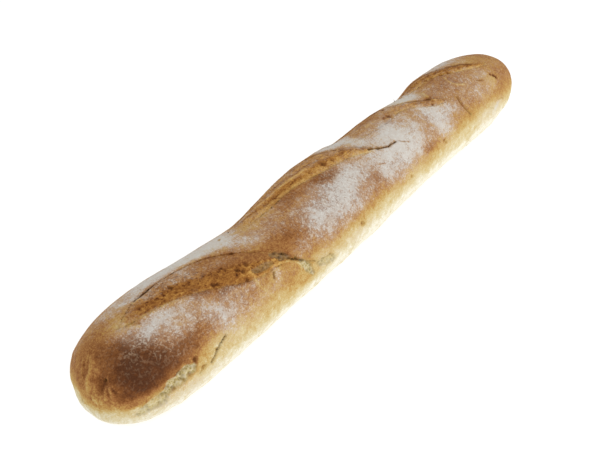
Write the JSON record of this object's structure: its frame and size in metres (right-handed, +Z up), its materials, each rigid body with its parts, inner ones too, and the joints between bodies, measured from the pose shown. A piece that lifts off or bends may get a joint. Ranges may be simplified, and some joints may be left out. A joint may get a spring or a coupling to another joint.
{
  "type": "baguette",
  "caption": "Long crusty white loaf with a flat base, rounded ends and diagonal slashes along a flour-dusted top; a whole baked baguette for tables, shops and kitchens.",
  "frame": {"origin": "centre of the loaf's bounding box in plan, on the surface the loaf rests on", "axes": "+X along the loaf towards its paler end, -X towards the blunter, darker end; +Z up; +Y towards the side the slashes start from"},
  "size_m": [0.54, 0.0822, 0.067],
  "materials": {
    "crust": "dry baked crust, dusted with flour"
  },
  "bodies": {
    "root": {"loaf": "crust"}
  },
  "joints": []
}
